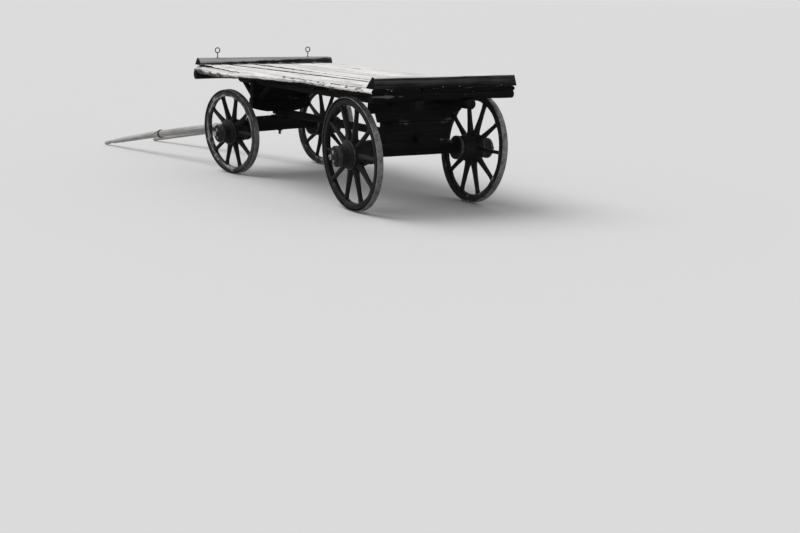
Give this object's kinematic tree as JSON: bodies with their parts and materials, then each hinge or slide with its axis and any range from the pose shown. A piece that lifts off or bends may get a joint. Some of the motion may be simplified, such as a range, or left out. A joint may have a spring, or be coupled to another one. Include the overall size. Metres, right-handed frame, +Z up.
{
  "type": "hay wagon",
  "caption": "Farm hay wagon with a flat plank deck, wooden spoked wheels with iron tyres, a steering front axle and hinged pole shafts resting on the ground.",
  "frame": {"origin": "on the ground below the middle of the whole wagon's length and width", "axes": "+X forward from the deck towards the shaft tips, +Y to the wagon's left, +Z up"},
  "size_m": [5.9396, 1.7884, 1.2249],
  "materials": {
    "grey_planks": "weathered",
    "rail_wood": "weathered",
    "dark_timber": "tarred and weathered",
    "wheel_wood": "tarred and weathered",
    "pole_wood": "weathered",
    "wrought_iron": "worn wrought iron"
  },
  "bodies": {
    "wagon": {"deck_planks": "grey_planks", "left_edge_plank": "grey_planks", "right_edge_plank": "grey_planks", "rear_rail": "rail_wood", "front_rail": "rail_wood", "eye_bolts": "wrought_iron", "rear_cross_log": "dark_timber", "front_cross_log": "dark_timber", "middle_cross_logs": "dark_timber", "bearers": "dark_timber", "rear_axle": "dark_timber", "rear_linchpins": "wrought_iron", "reach_pole": "dark_timber", "rear_bolster": "dark_timber", "front_bolster": "dark_timber", "rear_riser": "dark_timber", "front_riser": "dark_timber", "kingpin": "wrought_iron", "bolster_braces": "dark_timber"},
    "front_gear": {"front_axle": "dark_timber", "turn_plate": "wrought_iron", "front_linchpins": "wrought_iron", "shaft_brackets": "wrought_iron", "shaft_pins": "wrought_iron"},
    "shaft_left": {"left_shaft": "pole_wood", "left_shaft_eye": "wrought_iron"},
    "shaft_right": {"right_shaft": "pole_wood", "right_shaft_eye": "wrought_iron"},
    "wheel_rear_left": {"rear_left_hub": "wheel_wood", "rear_left_hub_bands": "wrought_iron", "rear_left_spokes": "wheel_wood", "rear_left_felloes": "wheel_wood", "rear_left_tyre": "wrought_iron"},
    "wheel_rear_right": {"rear_right_hub": "wheel_wood", "rear_right_hub_bands": "wrought_iron", "rear_right_spokes": "wheel_wood", "rear_right_felloes": "wheel_wood", "rear_right_tyre": "wrought_iron"},
    "wheel_front_left": {"front_left_hub": "wheel_wood", "front_left_hub_bands": "wrought_iron", "front_left_spokes": "wheel_wood", "front_left_felloes": "wheel_wood", "front_left_tyre": "wrought_iron"},
    "wheel_front_right": {"front_right_hub": "wheel_wood", "front_right_hub_bands": "wrought_iron", "front_right_spokes": "wheel_wood", "front_right_felloes": "wheel_wood", "front_right_tyre": "wrought_iron"}
  },
  "joints": [
    {"name": "steering", "type": "hinge", "parent": "wagon", "child": "front_gear", "pos_m": [0.13823, -0.07306, 0.559], "axis": [0, 0, 1], "range_deg": [-44.7, 19.3]},
    {"name": "rear_left_wheel", "type": "hinge", "parent": "wagon", "child": "wheel_rear_left", "pos_m": [-2.48677, 0.53894, 0.48078], "axis": [0, 0.9981, -0.061], "continuous": true},
    {"name": "rear_right_wheel", "type": "hinge", "parent": "wagon", "child": "wheel_rear_right", "pos_m": [-2.48677, -0.68506, 0.48078], "axis": [0, -0.9981, -0.061], "continuous": true},
    {"name": "front_left_wheel", "type": "hinge", "parent": "front_gear", "child": "wheel_front_left", "pos_m": [0.00369, 0.52397, 0.4209], "axis": [-0.2194, 0.9737, -0.061], "continuous": true},
    {"name": "front_right_wheel", "type": "hinge", "parent": "front_gear", "child": "wheel_front_right", "pos_m": [0.27278, -0.67008, 0.4209], "axis": [0.2194, -0.9737, -0.061], "continuous": true},
    {"name": "left_shaft_hinge", "type": "hinge", "parent": "front_gear", "child": "shaft_left", "pos_m": [0.17083, 0.31907, 0.47], "axis": [0.2198, -0.9755, 0], "range_deg": [0, 38]},
    {"name": "right_shaft_hinge", "type": "hinge", "parent": "front_gear", "child": "shaft_right", "pos_m": [0.33587, -0.4133, 0.47], "axis": [0.2198, -0.9755, 0], "range_deg": [0, 38]}
  ]
}
